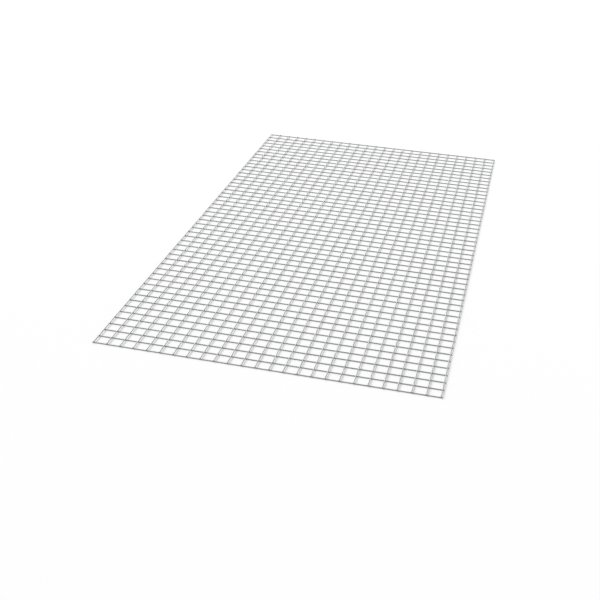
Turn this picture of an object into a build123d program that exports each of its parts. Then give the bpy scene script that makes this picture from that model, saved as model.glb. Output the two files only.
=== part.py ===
from build123d import *
import os

# Welded wire mesh panel, lying flat: cross wires underneath, line wires on top of them
# Origin: under the centre of the panel, on the level surface that it rests on
# Axes: +X across the panel, +Y along it, +Z up; lengths in millimetres

# Driving dimensions of the wire and the grid
wire_diameter = 4.0
cell_across = 50.0
cell_along = 50.0
cells_across = 25
cells_along = 50

# Driving dimensions of the welds and the sheared ends
weld_set_down = 0.5
cross_wire_stub = 6.0
line_wire_stub = 3.0

# How finely the panel is drawn: flats round a wire, and lengthwise bays
wire_flats = 8
bay_count = 4

# Where the wires run, worked out from the dimensions above
half_width = cells_across * cell_across / 2
half_length = cells_along * cell_along / 2
line_wire_xs = [column * cell_across - half_width for column in range(cells_across + 1)]
cross_wire_ys = [row * cell_along - half_length for row in range(cells_along + 1)]
cross_wire_z = wire_diameter / 2
line_wire_z = cross_wire_z + wire_diameter - weld_set_down
cross_wire_end = half_width + cross_wire_stub
line_wire_end = half_length + line_wire_stub


def wire_sections(centres):
    """Draws one wire's section, flat underneath, at each of the given centres."""
    with Locations(*centres):
        RegularPolygon(
            radius=wire_diameter / 2,
            side_count=wire_flats,
            major_radius=False,
            rotation=180 / wire_flats,
        )


def mesh_bay(cross_ys, bay_start, bay_end):
    """One bay of the panel: its cross wires with every line wire welded across them."""
    with BuildPart() as bay:
        # Cross wires, lying on the ground and sticking out past the outer line wires
        with BuildSketch(Plane.YZ.offset(-cross_wire_end)):
            wire_sections([(y, cross_wire_z) for y in cross_ys])
        extrude(amount=2 * cross_wire_end)
        # Line wires on top, pressed down into each cross wire by the weld
        with BuildSketch(Plane.XZ.offset(-bay_end)):
            wire_sections([(x, line_wire_z) for x in line_wire_xs])
        extrude(amount=bay_end - bay_start)
    return bay


# The panel is one welded sheet, drawn in bays that meet half-way along a cell
os.makedirs("parts", exist_ok=True)
cross_wire_count = len(cross_wire_ys)
bay_start = -line_wire_end
for bay_index in range(bay_count):
    first = bay_index * cross_wire_count // bay_count
    beyond = (bay_index + 1) * cross_wire_count // bay_count
    last_bay = beyond == cross_wire_count
    bay_end = line_wire_end if last_bay else cross_wire_ys[beyond] - cell_along / 2
    bay = mesh_bay(cross_wire_ys[first:beyond], bay_start, bay_end)
    bay.part.label = f"mesh_bay_{bay_index + 1}"
    export_step(bay.part, f"parts/{bay.part.label}.step")
    bay_start = bay_end
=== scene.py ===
# %% [markdown]
# A welded wire mesh panel, lying flat in a white studio and seen from the front and above.
# The sheet is a grid of zinc-coated steel wires: line wires run along it, on top, and cross wires
# run across it, underneath. Each place where two of them cross is a resistance weld.
# The frame that is loaded here is the same sheet as plain eight-sided bars, at its real size.
# This lesson makes round wires, welds and a zinc finish that fit that frame.

# %% Load the frame
from math import pi, radians

import bmesh
import bpy
import numpy as np
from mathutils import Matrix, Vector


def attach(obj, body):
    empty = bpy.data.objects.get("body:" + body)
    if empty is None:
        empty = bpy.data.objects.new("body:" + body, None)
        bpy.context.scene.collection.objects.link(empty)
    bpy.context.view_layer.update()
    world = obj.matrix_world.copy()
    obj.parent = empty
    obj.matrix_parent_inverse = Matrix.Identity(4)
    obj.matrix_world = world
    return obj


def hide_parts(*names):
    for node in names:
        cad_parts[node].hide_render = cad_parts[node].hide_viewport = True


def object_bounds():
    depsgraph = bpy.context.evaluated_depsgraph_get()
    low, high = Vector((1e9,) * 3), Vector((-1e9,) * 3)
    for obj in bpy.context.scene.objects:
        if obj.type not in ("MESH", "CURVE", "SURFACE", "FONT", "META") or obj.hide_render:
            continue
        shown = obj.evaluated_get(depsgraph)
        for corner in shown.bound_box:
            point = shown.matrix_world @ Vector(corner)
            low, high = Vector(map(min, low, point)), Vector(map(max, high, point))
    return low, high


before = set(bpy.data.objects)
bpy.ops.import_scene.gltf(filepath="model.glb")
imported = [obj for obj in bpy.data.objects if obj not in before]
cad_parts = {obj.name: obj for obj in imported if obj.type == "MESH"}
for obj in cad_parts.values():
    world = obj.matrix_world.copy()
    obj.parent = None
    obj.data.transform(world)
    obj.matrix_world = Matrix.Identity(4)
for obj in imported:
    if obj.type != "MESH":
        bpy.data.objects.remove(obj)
cad_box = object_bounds()
bays = sorted(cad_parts)
print("frame:", bays, "box from", tuple(cad_box[0]), "to", tuple(cad_box[1]))

# %% [markdown]
# Where the wires run follows from the frame's box and from a few sizes of the real sheet.
# The wire's diameter, the number of cells and the length of the trimmed ends are such sizes.
# The cell's pitch and the depth that a weld presses one wire into the other could be written
# down too. They are worked out instead, so a frame of another length or width gives a sheet
# that matches it.

# %% Sizes of the sheet, in metres
MM = 0.001
WIRE_DIAMETER = 4 * MM
CELLS_ACROSS = 25
CELLS_ALONG = 50
CROSS_WIRE_STUB = 6 * MM
LINE_WIRE_STUB = 3 * MM

low, high = cad_box
radius = WIRE_DIAMETER / 2
pitch_across = (high.x - low.x - 2 * CROSS_WIRE_STUB) / CELLS_ACROSS
pitch_along = (high.y - low.y - 2 * LINE_WIRE_STUB) / CELLS_ALONG
set_down = low.z + 2 * WIRE_DIAMETER - high.z
cross_wire_z = low.z + radius
line_wire_z = high.z - radius
line_wire_xs = low.x + CROSS_WIRE_STUB + pitch_across * np.arange(CELLS_ACROSS + 1)
cross_wire_ys = low.y + LINE_WIRE_STUB + pitch_along * np.arange(CELLS_ALONG + 1)
print(f"cells {pitch_across:.4f} x {pitch_along:.4f} m, welds set down {set_down:.4f} m")

# %% [markdown]
# The camera comes before the shapes, because it says how much detail can be seen.
# It could be aimed by eye. Here its place, turn and lens were fitted to the four corners of the
# sheet in the photograph, because a flat grid shows every error of perspective.

# %% The camera
CAMERA_PLACE = (0.778, -4.260, 1.873)
CAMERA_TURN_DEGREES = (62.80, -2.32, 13.44)
CAMERA_LENS = 62.41

scene = bpy.context.scene
camera_data = bpy.data.cameras.new("camera")
camera_data.lens = CAMERA_LENS
camera = bpy.data.objects.new("camera", camera_data)
camera.location = CAMERA_PLACE
camera.rotation_euler = [radians(angle) for angle in CAMERA_TURN_DEGREES]
scene.collection.objects.link(camera)
scene.camera = camera
scene.view_settings.view_transform = "Standard"
print("camera:", CAMERA_LENS, "mm lens at", CAMERA_PLACE)

# %% [markdown]
# A finish is a chain of nodes, and a long chain is hard to read as code.
# Here a socket is wrapped in a small class, so that Python's plus, minus and times add the
# Math nodes. Colours and vectors don't go through Math, which would turn them grey.
# All other nodes come from one method, which sets a node's choices before its inputs.

# %% Sockets that add up like numbers
class Value:
    """A node's output. Arithmetic on it adds Math nodes to the same graph."""

    def __init__(self, graph, socket):
        self.graph = graph
        self.socket = socket

    def math(self, operation, first, second=0.0):
        return self.graph.node("ShaderNodeMath", {"operation": operation}, {0: first, 1: second})

    def __add__(self, other):
        return self.math("ADD", self, other)

    def __sub__(self, other):
        return self.math("SUBTRACT", self, other)

    def __rsub__(self, other):
        return self.math("SUBTRACT", other, self)

    def __mul__(self, other):
        return self.math("MULTIPLY", self, other)

    __radd__ = __add__
    __rmul__ = __mul__

    def __abs__(self):
        return self.math("ABSOLUTE", self)

    def larger(self, other):
        return self.math("MAXIMUM", self, other)

    def from_nearest(self, pitch):
        """Distance to the nearest whole multiple of the pitch."""
        return self.math("PINGPONG", self, pitch / 2)


class Graph:
    """The node tree of a material or of the world, emptied for new nodes."""

    def __init__(self, owner):
        owner.use_nodes = True
        self.tree = owner.node_tree
        self.tree.nodes.clear()

    def node(self, kind, settings=None, inputs=None, output=0):
        made = self.tree.nodes.new(kind)
        for name, choice in (settings or {}).items():
            setattr(made, name, choice)
        for name, given in (inputs or {}).items():
            if isinstance(given, Value):
                self.tree.links.new(given.socket, made.inputs[name])
            else:
                made.inputs[name].default_value = given
        return Value(self, made.outputs[output]) if made.outputs else None

    def mix(self, share, first, second):
        """Blends from the first colour to the second as share goes from 0 to 1."""
        return self.node("ShaderNodeMix", {"data_type": "RGBA"}, {0: share, 6: first, 7: second}, 2)

    def fade(self, value, edges, low=0.0, high=1.0):
        """Goes smoothly from low to high as value goes from the first edge to the second."""
        start, end = edges
        limits = {"Value": value, "From Min": start, "From Max": end, "To Min": low, "To Max": high}
        return self.node("ShaderNodeMapRange", {"interpolation_type": "SMOOTHSTEP"}, limits)

    def part(self, vector, axis):
        """One part of a vector: X, Y or Z."""
        return self.node("ShaderNodeSeparateXYZ", {}, {"Vector": vector}, axis)

    def stretched(self, vector, factors):
        """The vector with each of its parts multiplied by its own factor."""
        return self.node("ShaderNodeVectorMath", {"operation": "MULTIPLY"}, {0: vector, 1: factors})

    def noise(self, vector, waves, detail=2.0):
        """Smooth noise from 0 to 1, with so many waves in a metre."""
        inputs = {"Vector": vector, "Scale": waves, "Detail": detail}
        return self.node("ShaderNodeTexNoise", {}, inputs, "Fac")

    def patches(self, vector, waves, edges, detail=2.0):
        """Noise that is drawn apart to 0 and 1 at the edges, which leaves soft-edged patches."""
        return self.fade(self.noise(vector, waves, detail), edges)


print("helpers: Value, Graph")

# %% [markdown]
# The studio is a white floor and a white surround. It could have a curved backdrop, but a wide
# floor with nothing behind it looks the same from every side. The floor is like pale paper and
# glows a little towards the camera, which makes it white with no more light on the wires, and it
# keeps their shadows. A metal shows what is around it, and in an even white surround it would
# look flat. So its reflections show white only towards one wide window behind on the left, a
# pale ceiling, and a greyer room elsewhere, which gives each wire light stripes and dark ones.
# Neither floor nor surround is sampled as a lamp, because what they send out depends on the kind
# of ray that meets them.

# %% Floor and surround
FLOOR_SIZE = 80.0
FLOOR_COLOUR = (0.86, 0.86, 0.86, 1)
FLOOR_GLOW = 0.14
WHITE = (1, 1, 1, 1)
SURROUND_LIGHT = 0.55
TOWARDS_WINDOW = (-0.62, 0.72, 0.31)
WINDOW_EDGES = (0.30, 0.95)
WINDOW_REFLECTION = 1.0
CEILING_EDGES = (0.55, 0.95)
CEILING_REFLECTION = 0.90
ROOM_REFLECTION = 0.45


def is_ray(graph, kind):
    """1 for rays of this kind, and 0 for the rest."""
    return graph.node("ShaderNodeLightPath", output=f"Is {kind} Ray")


def seen_directly(graph):
    """1 for rays from the camera, off a mirror or through glass, and 0 for the rest."""
    seen = is_ray(graph, "Camera").larger(is_ray(graph, "Glossy"))
    return seen.larger(is_ray(graph, "Transmission"))


def make_floor():
    half = FLOOR_SIZE / 2
    corners = [(-half, -half, 0), (half, -half, 0), (half, half, 0), (-half, half, 0)]
    mesh = bpy.data.meshes.new("floor")
    mesh.from_pydata(corners, [], [(0, 1, 2, 3)])
    material = bpy.data.materials.new("studio_floor")
    graph = Graph(material)
    material.cycles.emission_sampling = "NONE"
    paper = graph.node("ShaderNodeBsdfDiffuse", {}, {"Color": FLOOR_COLOUR})
    glow = graph.node("ShaderNodeEmission", {}, {"Strength": seen_directly(graph) * FLOOR_GLOW})
    both = graph.node("ShaderNodeAddShader", {}, {0: paper, 1: glow})
    graph.node("ShaderNodeOutputMaterial", {}, {"Surface": both})
    mesh.materials.append(material)
    floor = bpy.data.objects.new("floor", mesh)
    scene.collection.objects.link(floor)


def make_surround():
    world = bpy.data.worlds.new("studio")
    world.cycles.sampling_method = "NONE"
    scene.world = world
    graph = Graph(world)
    direction = graph.node("ShaderNodeTexCoord", output="Generated")
    both = {0: direction, 1: TOWARDS_WINDOW}
    nearness = graph.node("ShaderNodeVectorMath", {"operation": "DOT_PRODUCT"}, both, "Value")
    upwards = graph.part(direction, "Z")
    window = graph.fade(nearness, WINDOW_EDGES, ROOM_REFLECTION, WINDOW_REFLECTION)
    ceiling = graph.fade(upwards, CEILING_EDGES, ROOM_REFLECTION, CEILING_REFLECTION)
    reflected = window.larger(ceiling)
    direct = seen_directly(graph)
    seen = direct * is_ray(graph, "Camera").larger(reflected)
    strength = seen + (1 - direct) * SURROUND_LIGHT
    background = graph.node("ShaderNodeBackground", {}, {"Color": WHITE, "Strength": strength})
    graph.node("ShaderNodeOutputWorld", {}, {"Surface": background})


make_floor()
make_surround()
print("studio: floor", FLOOR_SIZE, "m wide, surround at", SURROUND_LIGHT)

# %% [markdown]
# The window's own light comes from the left. An area lamp would light the near floor less than
# the far floor, so this is a sun, which lights all of it alike. Its wide disc is as soft as a
# studio's large window, and it lays a pale shadow to the right of each line wire.
# A weak strip lamp behind the sheet adds hardly any light. It is there to be reflected: the line
# wires point at it, so each of them shows it as one bright line along its top.

# %% The window light and the strip lamp
WINDOW_PLACE = (-3.2, 1.8, 2.8)
WINDOW_ANGLE = radians(35)
WINDOW_STRENGTH = 2.2
STRIP_PLACE = (-1.2, 6.0, 2.4)
STRIP_SIZE = (5.0, 1.0)
STRIP_POWER = 40.0


def make_lamp(name, kind, place, energy):
    """A lamp that shines at the middle of the sheet, and that the camera doesn't see."""
    lamp = bpy.data.lights.new(name, kind)
    lamp.energy = energy
    holder = bpy.data.objects.new(name, lamp)
    holder.location = place
    holder.rotation_euler = (-holder.location).to_track_quat("-Z", "Y").to_euler()
    holder.visible_camera = False
    scene.collection.objects.link(holder)
    return lamp


window_light = make_lamp("window_light", "SUN", WINDOW_PLACE, WINDOW_STRENGTH)
window_light.angle = WINDOW_ANGLE
strip_lamp = make_lamp("strip_lamp", "AREA", STRIP_PLACE, STRIP_POWER)
strip_lamp.shape = "RECTANGLE"
strip_lamp.size, strip_lamp.size_y = STRIP_SIZE
print("window light: strength", WINDOW_STRENGTH, "and strip lamp:", STRIP_POWER, "W")

# %% [markdown]
# A wire could be a curve with a bevel, but a curve can't be pressed flat at its welds. One wire
# could be repeated by an array, but then all the wires would be alike.
# So a whole family of parallel wires is worked out at once as rings of points. Each wire has a
# ring at each station, and all the stations are by the welds and the ends, because the wire
# runs straight in between. No real sheet is perfect, so each wire also stands a hair out of
# place and wanders a little from weld to weld.

# %% Where the rings stand, and how straight the wires are
WELD_STEPS = (-3.4 * MM, -1.5 * MM, 1.5 * MM, 3.4 * MM)
END_STEPS = (0, 0.15 * MM, 0.6 * MM)
WANDER = 0.2 * MM
MISPLACED = 0.25 * MM

chance = np.random.default_rng(7)


def stations_along(welds, stub):
    """Distances at which the rings stand: four at each weld and three at each end."""
    start, end = welds[0] - stub, welds[-1] + stub
    by_welds = [weld + step for weld in welds for step in WELD_STEPS]
    between = [place for place in by_welds if start + END_STEPS[-1] < place < end - END_STEPS[-1]]
    by_start = [start + step for step in END_STEPS]
    by_end = [end - step for step in reversed(END_STEPS)]
    return np.array(by_start + between + by_end)


def wandering(places, welds):
    """A function of the distance along the wires that gives each wire's place across them."""
    steps = chance.normal(0, WANDER, (len(places), len(welds)))
    smooth = (np.roll(steps, 1, axis=1) + 2 * steps + np.roll(steps, -1, axis=1)) / 4
    offsets = smooth + chance.uniform(-MISPLACED, MISPLACED, (len(places), 1))

    def place_at(distances):
        rows = [place + np.interp(distances, welds, row) for place, row in zip(places, offsets)]
        return np.array(rows)

    return place_at


line_wire_place = wandering(line_wire_xs, cross_wire_ys)
cross_wire_place = wandering(cross_wire_ys, line_wire_xs)
print("stations:", len(stations_along(cross_wire_ys, LINE_WIRE_STUB)), "on each line wire")

# %% [markdown]
# A ring's points go round the wire, from its side over its top. The electrodes leave a small
# flat on the outer side of each wire at a weld, and squeeze the wire a little wider. The flat is
# made by holding back the points that would reach further out.
# The ends are sheared by a machine. Its blade draws the top of the wire down, and the cut is a
# little slanted and never quite at the same place. The zinc coat then rounds its edge.
# A bevel would round every end alike, so the rings get smaller towards each end instead.

# %% The section of a wire, and its ends
SIDES = 16
FLAT_LENGTHS = (1.5 * MM, 3.4 * MM)
FLAT_DEPTH = 0.35 * MM
SQUEEZE = 0.06
END_SIZES = (0.76, 0.93, 1.0)
END_DRAWN_DOWN = (0.20, 0.16, 0.0)
END_SLANT = 0.12
END_SHORTFALL = 0.3 * MM


def turns(count):
    """The angles of so many points, spread evenly round a circle."""
    return 2 * pi * np.arange(count) / count


def wire_section(stations, welds):
    """How far each point lies sideways and upwards, and how far out its ring may reach."""
    turn = turns(SIDES)
    from_weld = np.abs(stations[:, None] - welds).min(axis=1)[:, None]
    pressed = np.interp(from_weld, FLAT_LENGTHS, (1, 0))
    from_end = np.minimum(stations - stations[0], stations[-1] - stations)[:, None]
    drawn_down = np.interp(from_end, END_STEPS, END_DRAWN_DOWN) * np.maximum(np.sin(turn), 0)
    size = radius * (np.interp(from_end, END_STEPS, END_SIZES) - drawn_down)
    sideways = size * np.cos(turn) * (1 + SQUEEZE * pressed)
    return sideways, size * np.sin(turn), radius - FLAT_DEPTH * pressed


def sheared_ends(stations, wires):
    """How far along each point lies, with each end cut at its own place and slant."""
    slant = chance.uniform(-END_SLANT, END_SLANT, (2, wires, 1))
    shortfall = chance.uniform(0, END_SHORTFALL, (2, wires, 1))
    trim = shortfall + radius * (np.abs(slant) + slant * np.sin(turns(SIDES)))
    along = np.tile(stations[None, :, None], (wires, 1, SIDES))
    end_rings = len(END_STEPS)
    along[:, :end_rings] += trim[0][:, None]
    along[:, -end_rings:] -= trim[1][:, None]
    return along


print("sections of", SIDES, "points, with flats of", 2 * FLAT_LENGTHS[0], "m at the welds")

# %% [markdown]
# Both families of wires are made in the line wires' direction, in one array each: so many
# wires, each with so many rings, each with so many points. A loop over the wires could do it,
# but an array works out all of them in one step. The faces are found in the same way, from the
# numbers of the points: each quad joins two neighbours on one ring to the same two on the next.

# %% Rings of points round a family of wires
def wire_rings(welds, stub, place_at, height, outer_side):
    """Points as an array of wires, stations and sides. outer_side is 1 for up, -1 for down."""
    stations = stations_along(welds, stub)
    places = place_at(stations)
    sideways, upwards, farthest_out = wire_section(stations, welds)
    rings = np.empty((*places.shape, SIDES, 3))
    rings[..., 0] = places[:, :, None] + sideways
    rings[..., 1] = sheared_ends(stations, len(places))
    rings[..., 2] = height + outer_side * np.minimum(outer_side * upwards, farthest_out)
    return rings


def tube_faces(rings):
    """Quads between each two neighbouring rings, and a face over both ends of each tube."""
    number = np.arange(rings[..., 0].size).reshape(rings.shape[:3])
    here, there = number[:, :-1], number[:, 1:]
    quads = np.stack([here, there, np.roll(there, -1, axis=2), np.roll(here, -1, axis=2)], axis=-1)
    return quads.reshape(-1, 4).tolist() + number[:, 0].tolist() + number[:, -1].tolist()


line_rings = wire_rings(cross_wire_ys, LINE_WIRE_STUB, line_wire_place, line_wire_z, 1)
cross_rings = wire_rings(line_wire_xs, CROSS_WIRE_STUB, cross_wire_place, cross_wire_z, -1)
print("line wires:", line_rings.shape[0], "and cross wires:", cross_rings.shape[0])

# %% [markdown]
# Every piece is added in the same way: a mesh whose faces look outwards, shaded smooth round
# the wire and sharp at its cut ends. It rides on the frame's one body, takes the finish that it
# is given, and stands for the four bays of plain bars.

# %% Adding a piece
SHARP_ANGLE = radians(45)


def add_piece(name, points, faces, material):
    mesh = bpy.data.meshes.new(name)
    mesh.from_pydata(points.reshape(-1, 3).tolist(), [], faces)
    work = bmesh.new()
    work.from_mesh(mesh)
    bmesh.ops.recalc_face_normals(work, faces=work.faces)
    work.to_mesh(mesh)
    work.free()
    mesh.shade_smooth()
    mesh.set_sharp_from_angle(angle=SHARP_ANGLE)
    mesh.materials.append(material)
    piece = bpy.data.objects.new(name, mesh)
    scene.collection.objects.link(piece)
    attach(piece, "root")
    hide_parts(*bays)
    print(name, "has", sum(len(face) - 2 for face in faces), "triangles")


# %% [markdown]
# The sheet was welded first and then dipped in molten zinc, so the coat covers the welds and
# the cut ends too. Seen close it has a fine grain, a mottle of bright and dull spots, small
# lumps where the zinc ran, and chalky patches where it has weathered. Image textures could show
# this, but they would need unwrapped meshes. Here each mark is worked out from the place on the
# sheet, in metres, so it is in scale everywhere. These first marks are on all of the zinc.

# %% Marks that all of the zinc has
BRIGHT_ZINC = (0.49, 0.50, 0.50, 1)
PLAIN_ZINC = (0.32, 0.33, 0.33, 1)
CHALKY_ZINC = (0.44, 0.45, 0.44, 1)
ZINC_ROUGHNESS = 0.40

GRAIN_PER_METRE = 2600
CRYSTALS_PER_METRE = 520
LUMPS_PER_METRE = 420
MOTTLES_PER_METRE = 260
CHALK_PER_METRE = 5
CHALK_SHARE = 0.6
BUMP_STRENGTH = 0.75
BUMP_DEPTH = 0.12 * MM


class Zinc:
    """A zinc coat while it is being made: its graph, and what each mark does to its looks."""

    def __init__(self, name, own_tone_waves):
        self.material = bpy.data.materials.new(name)
        self.graph = Graph(self.material)
        self.place = self.graph.node("ShaderNodeTexCoord", output="Object")
        self.facing = self.graph.node("ShaderNodeTexCoord", output="Normal")
        graph, place = self.graph, self.place
        own_tone = graph.patches(graph.stretched(place, own_tone_waves), 1, (0.35, 0.65))
        mottle = graph.patches(place, MOTTLES_PER_METRE, (0.36, 0.64), 4)
        chalky = graph.patches(place, CHALK_PER_METRE, (0.50, 0.66), 5)
        grain = graph.noise(place, GRAIN_PER_METRE, 3)
        lumps = graph.noise(place, LUMPS_PER_METRE, 3)
        cells = {"Vector": place, "Scale": CRYSTALS_PER_METRE}
        crystal = graph.part(graph.node("ShaderNodeTexVoronoi", {}, cells, "Color"), "X")
        tone = own_tone * 0.40 + mottle * 0.35 + crystal * 0.15 + grain * 0.10
        fresh = graph.mix(tone, PLAIN_ZINC, BRIGHT_ZINC)
        self.colour = graph.mix(chalky * CHALK_SHARE, fresh, CHALKY_ZINC)
        self.roughness = ZINC_ROUGHNESS - mottle * 0.10 + crystal * 0.06 + grain * 0.08 + chalky * 0.18
        self.metallic = 1 - chalky * 0.30
        self.height = lumps * 0.50 + grain * 0.20

    def mark(self, mask, colour, rougher):
        """Blends a colour in where the mask is, and makes the coat that much rougher there."""
        self.colour = self.graph.mix(mask, self.colour, colour)
        self.roughness = self.roughness + mask * rougher

    def finish(self):
        """Ends the graph in one shader, with the height as bump."""
        relief = {"Strength": BUMP_STRENGTH, "Distance": BUMP_DEPTH, "Height": self.height}
        looks = {
            "Base Color": self.colour,
            "Roughness": self.roughness,
            "Metallic": self.metallic,
            "Normal": self.graph.node("ShaderNodeBump", {}, relief),
        }
        shader = self.graph.node("ShaderNodeBsdfPrincipled", {}, looks)
        self.graph.node("ShaderNodeOutputMaterial", {}, {"Surface": shader})
        print("material", self.material.name, "has", len(self.graph.tree.nodes), "nodes")
        return self.material


print("marks on all of the zinc: tone, mottle, crystals, grain, lumps and chalk")

# %% [markdown]
# The two families of wires have more marks, in their own direction. The drawn wire's fine
# streaks show through the coat. The crossings are thicker and cool last, which leaves the zinc
# near them greyer. The outer sides are painted brighter in patches. This is partly wear where
# they have been rubbed and partly a painted highlight along the line wires' tops. The flats that
# the electrodes left are painted brightest, which is a painted highlight on each weld as well.
# The cut ends are a rough grey. Such marks could be painted on the points of the mesh, but those
# are too far apart along a wire. A wire's own tone comes from noise that is drawn out along it.

# %% Zinc on the wires
GREY_ZINC = (0.245, 0.25, 0.255, 1)
# The bright colour below is partly rubbed zinc and partly a painted highlight, for the outer sides and
# the flats.
RUBBED_AND_HIGHLIT_ZINC = (0.57, 0.58, 0.58, 1)

STREAKS_ACROSS, STREAKS_ALONG = 1100, 16
TONES_ACROSS, TONES_ALONG = 40, 0.5
GREY_PATCHES_PER_METRE = 150
RUB_AND_HIGHLIGHT_PATCHES_PER_METRE = 30

COOLED_LAST_EDGES = (11 * MM, 3 * MM)
FLAT_EDGES = (3.2 * MM, 1.6 * MM)
# Facings and shares for the painted highlight: on the outer sides it goes with rub marks, and on the
# electrodes' flats it is strongest.
RUBBED_AND_HIGHLIT_WHERE_FACING = (0.70, 0.95)
FLAT_HIGHLIT_WHERE_FACING = (0.85, 0.97)
CUT_WHERE_FACING = (0.75, 0.95)
GREY_SHARE, RUBBED_AND_HIGHLIT_SHARE, FLAT_AND_HIGHLIGHT_SHARE, CUT_SHARE = 0.30, 0.75, 0.90, 0.60


def make_wire_zinc(name, direction, first_weld, pitch, outer_side):
    if direction == "Y":
        streak_waves = (STREAKS_ACROSS, STREAKS_ALONG, STREAKS_ACROSS)
        tone_waves = (TONES_ACROSS, TONES_ALONG, 0)
    else:
        streak_waves = (STREAKS_ALONG, STREAKS_ACROSS, STREAKS_ACROSS)
        tone_waves = (TONES_ALONG, TONES_ACROSS, 0)
    zinc = Zinc(name, tone_waves)
    graph, place = zinc.graph, zinc.place
    streaks = graph.noise(graph.stretched(place, streak_waves), 1, 3)
    zinc.height = zinc.height + streaks * 0.30
    zinc.roughness = zinc.roughness + streaks * 0.08

    from_weld = (graph.part(place, direction) - first_weld).from_nearest(pitch)
    grey_patches = graph.patches(place, GREY_PATCHES_PER_METRE, (0.30, 0.60))
    cooled_last = graph.fade(from_weld, COOLED_LAST_EDGES) * grey_patches
    zinc.mark(cooled_last * GREY_SHARE, GREY_ZINC, rougher=0.12)

    outwards = graph.part(zinc.facing, "Z") * outer_side
    # Rub marks and a painted highlight: the outer side, which is the top of a line wire, is painted
    # brighter in patches.
    rub_and_highlight_patches = graph.patches(place, RUB_AND_HIGHLIGHT_PATCHES_PER_METRE, (0.35, 0.55), 4)
    rubbed_and_highlit = graph.fade(outwards, RUBBED_AND_HIGHLIT_WHERE_FACING) * rub_and_highlight_patches
    # The flats at the welds are painted brightest where they face out, which is a painted highlight on
    # each weld.
    pressed = graph.fade(from_weld, FLAT_EDGES) * graph.fade(outwards, FLAT_HIGHLIT_WHERE_FACING)
    zinc.mark((rubbed_and_highlit * RUBBED_AND_HIGHLIT_SHARE).larger(pressed * FLAT_AND_HIGHLIGHT_SHARE), RUBBED_AND_HIGHLIT_ZINC, rougher=-0.08)

    lengthwise = abs(graph.part(zinc.facing, direction))
    zinc.mark(graph.fade(lengthwise, CUT_WHERE_FACING) * CUT_SHARE, GREY_ZINC, rougher=0.15)
    return zinc.finish()


line_wire_zinc = make_wire_zinc("line_wire_zinc", "Y", float(cross_wire_ys[0]), pitch_along, 1)
cross_wire_zinc = make_wire_zinc("cross_wire_zinc", "X", float(line_wire_xs[0]), pitch_across, -1)

# %% [markdown]
# The zinc of the fillets is thicker. It could be the same finish as the wires', but it has
# stronger lumps, no streaks, and a tone of its own at each weld, from bright to a dull grey.

# %% Zinc in the fillets
WELD_TONES_PER_METRE = 45
DULL_SPOTS_PER_METRE = 260
WELD_LUMPS_PER_METRE = 900
DULL_SHARE = 0.5


def make_weld_zinc():
    zinc = Zinc("weld_zinc", (WELD_TONES_PER_METRE, WELD_TONES_PER_METRE, 0))
    dull = zinc.graph.patches(zinc.place, DULL_SPOTS_PER_METRE, (0.42, 0.62), 3)
    zinc.mark(dull * DULL_SHARE, GREY_ZINC, rougher=0.15)
    zinc.height = zinc.height + zinc.graph.noise(zinc.place, WELD_LUMPS_PER_METRE) * 0.45
    return zinc.finish()


weld_zinc = make_weld_zinc()

# %% [markdown]
# The line wires lie on top, and the electrodes have pressed them from above. The cross wires
# lie underneath, pressed from below. The cross wires' points trade their first two parts here,
# which lays them across the sheet.

# %% The wires
add_piece("line_wires", line_rings, tube_faces(line_rings), line_wire_zinc)
add_piece("cross_wires", cross_rings[..., (1, 0, 2)], tube_faces(cross_rings), cross_wire_zinc)

# %% [markdown]
# A resistance weld melts the two wires together where they touch, and the molten zinc of the
# bath then creeps into the narrow gap round it. It sets as a hollow fillet, like solder.
# Wires could be joined and bevelled by modifiers, but at over a thousand crossings that is slow
# and often fails. A fillet is a short tube of four rings instead. In plan it is a small square
# with rounded corners, which reach out between the wires, and no two are alike.

# %% The outline of a fillet
FILLET_POINTS = 16
REACH_ALONG = 1.36
REACH_ROUND = 0.93
CORNER_REACH = 0.26
FILLET_SINK = 0.12 * MM
FILLET_SIZES = 0.07
FILLET_WAVES = 0.055

seat = radius - FILLET_SINK
fillet_turn = turns(FILLET_POINTS)


def fillet_sizes(count):
    """How far each fillet reaches at each of its points, with smooth waves round it."""
    waves = np.array([1, 2, 3])[:, None]
    heights = chance.normal(0, FILLET_WAVES, (count, len(waves), 1))
    starts = chance.uniform(0, 2 * pi, (count, len(waves), 1))
    sizes = chance.normal(1, FILLET_SIZES, (count, 1))
    uneven = sizes + (heights * np.cos(waves * fillet_turn - starts)).sum(axis=1)
    return seat * uneven * (1 + CORNER_REACH * np.sin(2 * fillet_turn) ** 2)


print("fillets of", FILLET_POINTS, "points, about", round(seat * REACH_ALONG, 4), "m to each side")

# %% [markdown]
# The first ring of a fillet lies on the underside of the line wire, the last on the top of the
# cross wire, and the two between are drawn in to make it hollow. The outer rings sink a little
# into the wires, so that no gap shows, whatever the wires' sides.
# A point that reaches so far along a wire, and so far round it, lies at a height that follows
# from the wire's round section. The line wire runs along Y and hangs over the cross wire, which
# runs along X, so the two outer rings are each other's mirror image.

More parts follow.
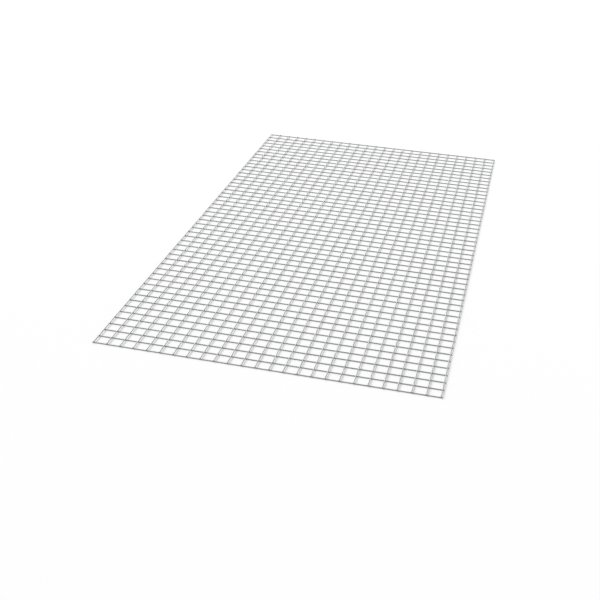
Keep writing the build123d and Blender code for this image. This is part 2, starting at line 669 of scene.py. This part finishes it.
# %% The rings of a fillet
FILLET_RINGS = 4
HOLLOW = 0.09
ROUND_AT_MOST = 0.97


def fillet_rings(count):
    """Points as an array of welds, rings from top to bottom and turns, each weld at x, y = 0."""
    size = fillet_sizes(count)
    far_x = REACH_ALONG * size * np.cos(fillet_turn)
    far_y = REACH_ALONG * size * np.sin(fillet_turn)
    limit = ROUND_AT_MOST * seat
    near_x = np.clip(REACH_ROUND * size * np.cos(fillet_turn), -limit, limit)
    near_y = np.clip(REACH_ROUND * size * np.sin(fillet_turn), -limit, limit)
    top = np.stack([near_x, far_y, line_wire_z - np.sqrt(seat**2 - near_x**2)], axis=-1)
    bottom = np.stack([far_x, near_y, cross_wire_z + np.sqrt(seat**2 - near_y**2)], axis=-1)
    share = np.linspace(0, 1, FILLET_RINGS)[:, None, None]
    rings = top[:, None] * (1 - share) + bottom[:, None] * share
    rings[:, 1:-1, :, :2] *= 1 - HOLLOW
    return rings


fillets = fillet_rings(len(line_wire_xs) * len(cross_wire_ys))
print("fillets:", fillets.shape[0])

# %% [markdown]
# Each fillet goes to the place where its two wires really cross, which is a hair beside the
# plain grid. The first and last cross wires are close to the cut ends of the line wires. There a
# fillet is drawn in, so that it stops where the shortest and most slanted end is a whole wire.

# %% The welds
WHOLE_WIRE_FROM = END_SHORTFALL + 2 * END_SLANT * radius + END_STEPS[-1]


def set_at_crossings(rings):
    """Moves the fillets to their welds, and draws them in where a cut end is near."""
    centre_x = line_wire_place(cross_wire_ys).T.reshape(-1, 1, 1)
    centre_y = cross_wire_place(line_wire_xs).reshape(-1, 1, 1)
    room_before = centre_y - (low.y + WHOLE_WIRE_FROM)
    room_after = high.y - WHOLE_WIRE_FROM - centre_y
    reach = np.abs(rings[..., 1]).max(axis=(1, 2), keepdims=True)
    room = np.where(rings[..., 1] < 0, room_before, room_after)
    rings[..., 1] *= np.minimum(1, room / reach)
    rings[..., 0] += centre_x
    rings[..., 1] += centre_y


set_at_crossings(fillets)
add_piece("welds", fillets, tube_faces(fillets), weld_zinc)
